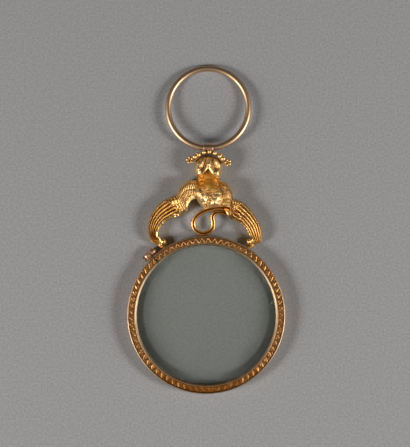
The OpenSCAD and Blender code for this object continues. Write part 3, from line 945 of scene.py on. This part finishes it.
@dataclass
class Body:
    """The breast and neck, the head and the tail of the cast figure."""

    rim: Rim
    left: Wing
    right: Wing
    breast_t: float = 5.7
    neck_t: float = 4.2
    scale_w: float = 0.95
    head_w: float = 6.72
    head_t: float = 6.0
    head_tilt: float = 4.0
    neck_rise: float = 2.95
    head_shift: float = 0.5
    notch_tip_r: float = 0.08
    tail_loop_w: float = 4.8
    tail_h: float = 6.75
    tail_w: float = 1.14
    tail_half_t: float = 0.48
    tail_groove: float = 0.5

    @property
    def head_middle(self) -> Points:
        """The middle of the head."""
        return np.array([self.head_shift, self.rim.top_y + self.left.shoulder_h + self.neck_rise])

    @property
    def notch(self) -> tuple[float, float]:
        """The two directions between which the neck rises under the head."""
        return 230 - self.head_tilt, 310 - self.head_tilt

    @property
    def breast_w(self) -> float:
        """The breast's width, between the two wings."""
        return self.left.root + self.right.root

    @property
    def breast_shift(self) -> float:
        """How far the breast's middle lies to the right."""
        return (self.right.root - self.left.root) / 2

    def head_plan(self, degrees: Points, shares: Points) -> Points:
        """Give the head's plan about its middle: wide, and flatter above and below.

        Args:
            degrees: directions from its middle.
            shares: how far out, from 0 at the notch's tip to 1 at the outline.

        Returns:
            Directions × shares × 2, in millimetres.
        """
        d = unit(degrees + self.head_tilt)
        wide, high = self.head_w / 2, self.head_w * 0.43
        outline = (np.abs(d[..., 0] / wide) ** 2.4 + np.abs(d[..., 1] / high) ** 2.4) ** (-1 / 2.4)
        # the two cheeks hang a little below the mask, the right one lower
        around = np.mod(degrees, 360)
        cheeks = 0.12 * bump(around, 316, 14) + 0.07 * bump(around, 214, 16) + 0.03 * bump(around, 180, 20)
        reach = self.notch_tip_r + shares * ((outline * (1 + cheeks))[:, None] - self.notch_tip_r)
        return reach[..., None] * unit(degrees)[:, None]

    def breast_side(self, side: Side) -> Points:
        """Give one side of the breast and neck, from the notch down to the belly."""
        wing, notch = (self.left, self.notch[0]) if side is Side.LEFT else (self.right, self.notch[1])
        top, bottom = wing.outer()[0], wing.inner()[0]
        sign, width = side.value, self.breast_w
        belly = np.array([self.breast_shift - 0.09 * width, self.rim.top_y + 0.497 * wing.shoulder_h])
        return np.array(
            [
                *(self.head_middle + self.head_plan(np.array([notch]), np.array([0, 0.5, 1]))[0]),
                top + width * np.array([-sign * 0.06, 0.05]),
                top,
                top + (bottom - top) * 0.33 + [sign * 0.35, 0],
                top + (bottom - top) * 0.67 + [sign * 0.5, 0],
                bottom,
                belly + width * np.array([sign * 0.27, 0.15 if side is Side.LEFT else 0.03]),
                belly + width * np.array([sign * 0.08, 0]),
            ]
        )

    def breast(self) -> Piece:
        """Build the full breast with its small scale feathers, and the neck above it."""
        width, chest_y = self.breast_w, self.rim.top_y + 0.72 * self.left.shoulder_h
        neck_heights = self.neck_t * np.array([0.9, 0.91, 0.92, 0.93, 0.98])
        heights = np.append(neck_heights, self.breast_t * np.array([0.85, 0.98, 0.96, 0.83, 0.68]))
        end = len(heights) - 1
        s = np.linspace(0, end, 170)
        left, right = (curve(self.breast_side(side), s) for side in Side)
        v = spaced_round(72)
        plan, top = spanned(left, right, v), curve(heights, s)[:, None]
        x, y = (plan[..., 0] - self.breast_shift) / width, (plan[..., 1] - chest_y) / width

        lobes = stroke(x, y, [(-0.38, 0.22), (-0.35, 0.1), (-0.29, -0.06)], 0.18)
        lobes += stroke(x, y, [(0.34, 0.1), (0.35, -0.06), (0.25, -0.26)], 0.17)
        lobes += 0.8 * stroke(x, y, [(-0.19, -0.38), (-0.17, -0.48)], 0.06)
        lobes += 0.8 * stroke(x, y, [(0.01, -0.36), (-0.01, -0.47)], 0.06)
        parting = stroke(x, y, [(-0.02, 0.26), (-0.05, -0.1), (-0.09, -0.42)], (0.13, 0.1, 0.035))
        swell = self.breast_t * (0.13 * lobes - 0.07 * parting)
        # the throat's middle is smooth, and feathers run up on either side of it
        feathered = np.maximum(ease(-y, -0.34, -0.16), 0.7 * ease(np.abs(x - 0.02), 0.13, 0.27))
        cover = (0.1 + 0.9 * feathered) * (1 - 0.6 * np.clip(lobes, 0, 1))
        scale = width / self.scale_w
        scales = lapped(-y * scale, x * scale + 0.2 * np.sin(7 * y)) - 0.5
        grain = 0.05 * hand_wobble(plan[..., 0] * 3, plan[..., 1] * 3, 4.0)
        grain *= 0.1 + 0.9 * ease(-y, -0.4, -0.1)
        # high in the head's notch and where the shoulders join, and low at the free edges
        edge_shares = [0.99, 0.98, 0.93, 0.8, 0.78, 0.45, 0.4]
        edge = top * np.interp(s, [0, 2.4, 3.2, 4.8, 6.2, 7.4, end], edge_shares)[:, None]
        rise = (top - edge) * dome(v, 2.2) + (swell + 0.4 * scales * cover + grain) * dome(v, 7.0)
        w = spaced_round(20)[-2:0:-1]
        under = raised(spanned(left, right, w), edge * (1 - dome(w, 5.0)))
        shape = skin(np.concatenate([raised(plan, edge + rise), under], axis=1))

        # the shade that the neck lies in, behind the full breast, is painted into its colour
        def painted_shade(at: Points) -> Points:
            """Give the painted shade on the neck, most in the middle of the throat."""
            collar, throat = chest_y + 0.3 * width, 0.3 * width
            inward = ease(-np.abs(at[:, 0] - self.breast_shift), -throat, -0.5 * throat)
            return ease(at[:, 1], collar - 0.7, collar + 0.9) * (0.3 + 0.24 * inward)

        piece = mesh_piece("breast_and_neck", shape, sharp_degrees=60)
        mark_painted_shade(piece, painted_shade)
        return piece

    def head_relief(self, x: Points, y: Points) -> Points:
        """Give the relief of the beast's mask, in shares of the head's thickness.

        Args:
            x: places to the right of the head's middle, in shares of its width.
            y: places above it.

        Returns:
            The relief: a brow ridge that parts into two arms over the neck, with a combed
            hollow on either side and full cheeks below.
        """
        ridge = [(-0.01, 0.4), (0.02, 0.25), (0.047, 0.1), (0.11, -0.04), (0.2, -0.18)]
        brow = stroke(x, y, ridge, (0.06, 0.06, 0.065, 0.075, 0.085))
        arm = stroke(x, y, [(-0.01, 0.12), (-0.08, -0.02), (-0.165, -0.145)], (0.05, 0.055, 0.065))
        hollows = stroke(x, y, [(-0.1, 0.27), (-0.15, 0.1), (-0.22, 0.0)], 0.085)
        hollows += stroke(x, y, [(0.14, 0.28), (0.22, 0.1), (0.29, -0.04)], 0.09)
        combing = np.sin(2 * np.pi * (15 * x + 5 * y + 4 * x * y)) * np.clip(1.4 * hollows - 0.3, 0, 1)
        cheeks = stroke(x, y, [(-0.33, -0.04), (-0.31, -0.12)], 0.06)
        cheeks += stroke(x, y, [(-0.34, -0.225), (-0.22, -0.235)], 0.06)
        cheeks += 1.2 * stroke(x, y, [(0.35, -0.12), (0.37, -0.29)], 0.1)
        rims = stroke(x, y, [(-0.38, 0.22), (-0.43, 0.0), (-0.4, -0.18)], 0.055)
        rims += stroke(x, y, [(0.28, 0.3), (0.41, 0.1)], 0.055)
        return 0.06 * brow + 0.06 * arm + 0.085 * cheeks + 0.05 * rims - 0.07 * hollows + 0.016 * combing

    def head(self) -> Piece:
        """Build the head, a beast's mask in low relief with a notch for the neck."""
        left, right = self.notch
        angles = np.linspace(right - 360, left, 300)
        share = np.sin(np.linspace(0, 1, 90) ** 0.9 * np.pi / 2)
        plan = self.head_plan(angles, share)
        x, y = plan[..., 0] / self.head_w, plan[..., 1] / self.head_w
        edge, fade = 0.4 * self.head_t, dome((1 + share) / 2, 8.0)
        top = edge + (0.9 * self.head_t - edge) * dome((1 + share) / 2, 5.0)
        top = top + self.head_t * self.head_relief(x, y) * fade
        top += 0.04 * hand_wobble(plan[..., 0] * 3, plan[..., 1] * 3, 7.0) * fade
        inward = share[-2:0:-1]
        under = raised(self.head_plan(angles, inward), edge * (1 - dome((1 + inward) / 2, 6.0)))
        tip = raised(self.head_plan(angles, np.zeros(1)), 0.0)
        rings = np.concatenate([raised(plan, top), under, tip], axis=1)
        return mesh_piece("head_beast_mask", moved(skin(rings), [*self.head_middle, 0]), sharp_degrees=60)

    def tail(self) -> Piece:
        """Build the tail: a strap with a groove along it, looped under the breast."""
        # across in half loop widths, up the page in tail heights, and above the surface in millimetres
        route = [
            (2.75, 0.97, 2.6), (1.58, 1.005, 3.2), (0.68, 0.95, 3.1), (-0.17, 0.84, 2.8),
            (-0.76, 0.667, 2.5), (-1.0, 0.44, 2.2), (-0.77, 0.22, 2.0), (-0.22, 0.1, 2.0),
            (0.43, 0.115, 2.0), (0.91, 0.265, 2.1), (1.0, 0.49, 2.2), (0.93, 0.675, 2.3),
            (1.15, 0.805, 2.5), (1.66, 0.85, 2.7), (2.2, 0.825, 2.7), (2.75, 0.77, 2.4),
        ]
        half_loop = self.tail_loop_w / 2
        path = np.array(route) * [half_loop, self.tail_h, 1] + [-0.3 * half_loop, self.rim.top_y, 0]
        strap = circle(56) * [self.tail_w / 2, self.tail_half_t]
        strap[:, 1] -= np.where(strap[:, 1] > 0, self.tail_groove * bump(strap[:, 0], 0.0, 0.2), 0.0)
        # a leaf covers both ends at the right wing
        leaf_path = [(4.2, 4.95, 2.9), (4.9, 4.7, 3.2), (5.45, 3.9, 3.3), (5.9, 3.1, 3.1), (6.3, 2.4, 2.7)]
        s = np.linspace(0, len(leaf_path) - 1, 30)
        leaf_r = np.maximum(curve([0.2, 0.5, 0.6, 0.5, 0.15], s), 0.02)
        leaf = swept(curve(leaf_path, s), leaf_r[:, None, None] * circle(16))
        loop = swept(curve(path, np.linspace(0, len(path) - 1, 320)), strap)
        return mesh_piece("tail_grooved_strap", join([loop, leaf]), sharp_degrees=60)


@dataclass
class Crown:
    """The crown over the head: a half-hoop with beads, rosettes and the ring's eyelet."""

    body: Body
    band_t: float = 0.5
    band_w: float = 3.0
    band_z: float = 1.5
    hoop_gap: float = 0.05
    pearl_d: float = 1.0
    full_pearl_d: float = 1.15
    rosette_d: float = 0.8
    petals: int = 5
    first: float = 22.0
    last: float = 158.0
    eyelet_wall: float = 0.25
    seat_gap: float = 0.02

    @property
    def inner_r(self) -> float:
        """The radius of the hoop's inner side."""
        return self.body.head_w / 2 + self.hoop_gap

    @property
    def outer_r(self) -> float:
        """The radius of the hoop's outer side."""
        return self.inner_r + self.band_t

    @property
    def top_z(self) -> float:
        """The height of the hoop's front edge."""
        return self.band_z + self.band_w

    def at_head(self, shape: Shape) -> Shape:
        """Turn a shape about the head's middle by its tilt and move it there."""
        c, s = unit(-self.body.head_tilt)
        plan = shape[0][:, :2] @ np.array([[c, s], [-s, c]]) + self.body.head_middle
        return np.column_stack([plan, shape[0][:, 2]]), shape[1]

    def band(self) -> Piece:
        """Build the half-hoop, with the eyelet's seat filed into its top."""
        low, high = self.band_z, self.top_z
        corners = [(self.inner_r, low), (self.outer_r, low), (self.outer_r, high), (self.inner_r, high)]
        profile = rounded(corners, [0.12, 0.12, 0.16, 0.16])
        dense = []
        for a, b in zip(profile, np.roll(profile, -1, axis=0)):
            steps = max(1, int(np.linalg.norm(b - a) / 0.12))
            dense += [a + (b - a) * i / steps for i in range(steps)]
        points, faces = self.at_head(turned(np.array(dense), np.linspace(self.first, self.last, 120), False))
        box_low, box_high = node_box("ring_eyelet")
        middle, size = (box_low + box_high) / 2, box_high - box_low
        radius, height = size[2] / 2 + self.seat_gap, points[:, 2] - middle[2]
        near = (np.abs(height) < radius) & (np.abs(points[:, 0] - middle[0]) < size[0] / 2 + 0.3)
        seat = middle[1] - np.sqrt(np.clip(radius**2 - height**2, 0, None))
        points[:, 1] = np.where(near, np.minimum(points[:, 1], seat), points[:, 1])
        return mesh_piece("crown_half_hoop", (points, faces))

    def pearls(self) -> Piece:
        """Build the small beads along the hoop's front edge."""
        row = [(angle, self.outer_r, self.pearl_d, self.top_z) for angle in (50, 70, 90, 110, 130)]
        # fuller beads where the hoop comes down to the rosettes, clear of the ring's swing
        full_r, full_z = self.outer_r + 0.3, self.top_z - 0.35
        row += [(angle, full_r, self.full_pearl_d, full_z) for angle in (36, 51, 129, 144)]
        parts = [moved(bead(size, 17, 28), [*(radius * unit(angle)), z]) for angle, radius, size, z in row]
        return mesh_piece("crown_beads", join([self.at_head(part) for part in parts]))

    def rosettes(self) -> Piece:
        """Build the cluster of beads at each end of the hoop."""
        bead_r = self.rosette_d / 2
        out, stem = bead_r * 1.5, bead_r * 1.05
        centre_r = self.outer_r + out + bead_r - 0.1
        domed = np.concatenate([[[0, -stem]], [[bead_r * 0.9, -stem]], bead_r * unit(np.linspace(0, 90, 10))])
        post = np.array([[0, -stem], [bead_r * 0.8, -stem], [bead_r * 0.8, 0.3 * bead_r], [0, 0.45 * bead_r]])
        parts = []
        for angle in (20, 160):
            turns = [360 / self.petals * i + 2 * angle for i in range(self.petals)]
            cluster = [turned_solid(post, 24)]
            cluster += [moved(turned_solid(domed, 24), [*(out * unit(turn)), 0]) for turn in turns]
            middle = [*(centre_r * unit(angle)), self.band_z + self.band_w * 0.45]
            parts += [self.at_head(moved(shape, middle)) for shape in cluster]
        return mesh_piece("crown_rosettes_beaded", join(parts))

    def eyelet(self) -> Piece:
        """Build the short tube that the ring runs through."""
        low, high = node_box("ring_eyelet")
        middle, half, outer = (low + high) / 2, (high - low)[0] / 2, (high - low)[2] / 2
        inner = outer - self.eyelet_wall
        corners = [(inner, -half), (outer, -half), (outer, half), (inner, half)]
        profile = rounded(corners, [0.07, 0.1, 0.1, 0.07])
        points, faces = turned(profile, np.linspace(0, 360, 72, endpoint=False), True)
        return mesh_piece("ring_eyelet_tube", (points[:, [2, 0, 1]] + middle, faces))


@dataclass
class SuspensionRing:
    """The ring of round drawn wire that the glass hangs from."""

    wire_d: float = 1.45
    inset: float = 0.005

    def ring(self) -> Piece:
        """Build the ring, very slightly uneven where it was bent and soldered."""
        low, high = node_box("suspension_ring")
        wire_r = self.wire_d / 2
        # a hair inside the solid
        radius = (high - low)[0] / 2 - wire_r - self.inset
        slope = math.asin(((high - low)[2] - self.wire_d) / (2 * radius))
        angles = np.linspace(0, 360, 256, endpoint=False)
        worn = 1 - 0.02 * (0.5 + 0.5 * np.sin(np.radians(3 * angles + 40)))
        points, faces = skin(coil(angles, radius, wire_r * worn, 36), round_trip=True)
        # it leans on its back, its far side down
        c, s = math.cos(slope), math.sin(slope)
        leaning = points @ np.array([[1, 0, 0], [0, c, -s], [0, s, c]])
        return mesh_piece("suspension_ring_wire", (leaning + (low + high) / 2, faces))


# Studio


@dataclass
class Studio:
    """The plain pale floor, the soft lights and the camera above the piece."""

    image_px: tuple[int, int] = (410, 447)
    mm_per_px: float = 0.2405
    aim: tuple[float, float, float] = (-0.29, 1.46, 3.0)
    distance: float = 700.0
    light_distance: float = 600.0
    floor_size: float = 3000.0

    def floor(self) -> None:
        """Lay the paper that the piece rests on."""
        corners = np.array([(-1, -1, 0), (1, -1, 0), (1, 1, 0), (-1, 1, 0)]) * self.floor_size / 2
        piece = mesh_piece("paper_floor", (corners, [[0, 1, 2, 3]]))
        piece.data.materials.append(PaperFinish().material())

    def light(
        self, name: str, azimuth: float, elevation: float, size: tuple, watts: float, colour: str
    ) -> None:
        """Hang a soft box that faces the piece.

        Args:
            name: its name.
            azimuth: the direction that it stands in, from +X, in degrees.
            elevation: its height above the surface, in degrees.
            size: its width and height, in millimetres.
            watts: its power.
            colour: its colour.
        """
        lamp = bpy.data.lights.new(name, "AREA")
        lamp.shape = "RECTANGLE"
        lamp.size, lamp.size_y = size[0] * MM, size[1] * MM
        lamp.energy = watts
        lamp.color = linear(colour)[:3]
        box = bpy.data.objects.new(name, lamp)
        level, up = unit(elevation) * self.light_distance
        box.location = Vector((*(unit(azimuth) * level), up)) * MM
        box.rotation_euler = (-box.location).to_track_quat("-Z", "Y").to_euler()
        bpy.context.scene.collection.objects.link(box)

    def lights(self) -> None:
        """Set a soft box and a low, wide panel on either side, and the dim room round them."""
        for side, azimuth in (("left", 199), ("right", 346)):
            self.light(f"soft_box_{side}", azimuth, 38, (150, 170), 2.4, "#fffdf8")
        for side, azimuth in (("left", 200), ("right", 344)):
            self.light(f"low_panel_{side}", azimuth, 19, (300, 150), 0.7, "#fffaf2")
        world = bpy.data.worlds.new("dim_room")
        world.use_nodes = True
        background = world.node_tree.nodes["Background"]
        background.inputs["Color"].default_value = linear("#8d8e92")
        background.inputs["Strength"].default_value = 0.05
        bpy.context.scene.world = world

    def camera(self) -> None:
        """Look straight down, with the photograph's frame."""
        data = bpy.data.cameras.new("overhead_camera")
        data.sensor_width = 36.0
        data.lens = data.sensor_width * self.distance / (max(self.image_px) * self.mm_per_px)
        data.clip_start, data.clip_end = 0.01, 10.0
        camera = bpy.data.objects.new("overhead_camera", data)
        camera.location = Vector((self.aim[0], self.aim[1], self.aim[2] + self.distance)) * MM
        bpy.context.scene.collection.objects.link(camera)
        bpy.context.scene.camera = camera

    def exposure(self) -> None:
        """Show colours as a plain print does."""
        view = bpy.context.scene.view_settings
        view.view_transform = "Standard"
        view.look = "None"
        view.exposure = 0.0


# brownish rose metal whose rubbed lip and edge draw two pale lines round the lens
RIM_GOLD = GoldFinish("rose_tinted_gold_rolled_and_worn", "#a6825c", "#d8ba98", "#5c381c", 0.4, recess_mm=0.4)
# tarnish and painted shade make it dark between bright zigzag crests, so that the chasing reads from far off
BAND_GOLD = GoldFinish(
    "red_gold_chisel_chased", "#865223", "#c48f58", "#362008", 0.38, recess_mm=0.25, recess_depth=1.8
)
# pinker than what it is soldered to
LUG_GOLD = GoldFinish("red_gold_turned_and_soldered", "#d69670", "#f5c8a6", "#6a3a1e", 0.38)
# the one bright, smooth metal, as a lathe leaves it
SCREW_GOLD = GoldFinish("rose_tinted_gold_turned", "#cf9a68", "#f3cda0", "#6a3c1c", 0.24)
# deep yellow, with tarnish and painted shade in the furrows between the feathers
FIGURE_GOLD = GoldFinish(
    "yellow_gold_cast_and_chased", "#c48432", "#efc27c", "#4a2405", 0.36,
    recess_mm=0.4, grain_mm=0.2, grain_height_mm=0.012,
)
# high places, painted paler than the wings as the light that they catch, with a soft broad shine
PAINTED_LIT_GOLD = GoldFinish(
    "yellow_gold_cast_rubbed_and_painted_lit", "#e6a84a", "#ffdca0", "#6c360a", 0.42,
    recess_mm=0.3, grain_mm=0.2, grain_height_mm=0.01,
)
# a brown hoop: the shade that it lies in under the beads and the head, painted into its colour
CROWN_PAINTED_SHADE_GOLD = GoldFinish(
    "yellow_gold_rolled_in_painted_shade", "#8a5c26", "#b98a4c", "#3a1e06", 0.45, recess_depth=1.4
)
# the palest gold: painted light on the fullest form, which catches the most light
BREAST_PAINTED_LIT_GOLD = GoldFinish(
    "yellow_gold_cast_and_burnished", "#ecb050", "#ffe8b4", "#7d4c1c", 0.43,
    recess_mm=0.3, grain_mm=0.2, grain_height_mm=0.01,
)
# plain pinkish wire with a soft line of light along it
RING_GOLD = GoldFinish("yellow_gold_drawn_wire", "#c4976e", "#e2bd9a", "#7a5230", 0.41, recess_mm=0.3)


def main() -> None:
    """Build and dress every sub-assembly, then the studio."""
    logging.basicConfig(level=logging.INFO, format="%(name)s %(message)s")
    rim = Rim()
    left, right = Wing(Side.LEFT, rim), Wing(Side.RIGHT, rim)
    body = Body(rim, left, right)
    crown = Crown(body)
    lugs = ClosingLugs(rim)
    lug_gold, figure_gold, painted_lit_gold = LUG_GOLD.material(), FIGURE_GOLD.material(), PAINTED_LIT_GOLD.material()

    place_piece(rim.channel(), FIXED_BODY, "rim_gold", RIM_GOLD.material(), "rim_channel")
    place_piece(rim.band(), FIXED_BODY, "band_rose_gold", BAND_GOLD.material(), "chased_band")
    place_piece(rim.lens(), FIXED_BODY, "lens_glass", LensFinish(tuple(rim.middle)).material(), "lens")
    for node, direction in (("lug_tapped", 1), ("lug_plain", -1)):
        place_piece(lugs.lug(f"{node}_barrel", direction), FIXED_BODY, "lug_rose_gold", lug_gold, node)
    for wing in (left, right):
        name = wing.side.name.lower()
        place_piece(wing.shoulder(), FIXED_BODY, "figure_gold", painted_lit_gold, f"shoulder_{name}")
        place_piece(wing.long_feathers(), FIXED_BODY, "figure_gold", figure_gold, f"wing_{name}")
        place_piece(wing.scroll(), FIXED_BODY, "figure_gold", figure_gold, f"foot_{name}")
    for build, gold, node in (
        (body.breast, BREAST_PAINTED_LIT_GOLD.material(), "breast"),
        (body.head, painted_lit_gold, "head"),
        (body.tail, figure_gold, "tail"),
        (crown.band, CROWN_PAINTED_SHADE_GOLD.material(), "crown_band"),
        (crown.pearls, painted_lit_gold, "crown_pearls"),
        (crown.rosettes, painted_lit_gold, "crown_rosettes"),
    ):
        place_piece(build(), FIXED_BODY, "figure_gold", gold, node)
    place_piece(crown.eyelet(), FIXED_BODY, "lug_rose_gold", lug_gold, "ring_eyelet")
    place_piece(SuspensionRing().ring(), RING_BODY, "ring_gold", RING_GOLD.material(), "suspension_ring")

    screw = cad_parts["closing_screw"]
    screw.data.materials.clear()
    screw.data.materials.append(SCREW_GOLD.material())
    log.info("closing_screw: the CAD's own mesh")

    studio = Studio()
    studio.floor()
    studio.lights()
    studio.camera()
    studio.exposure()


if __name__ == "__main__":
    main()
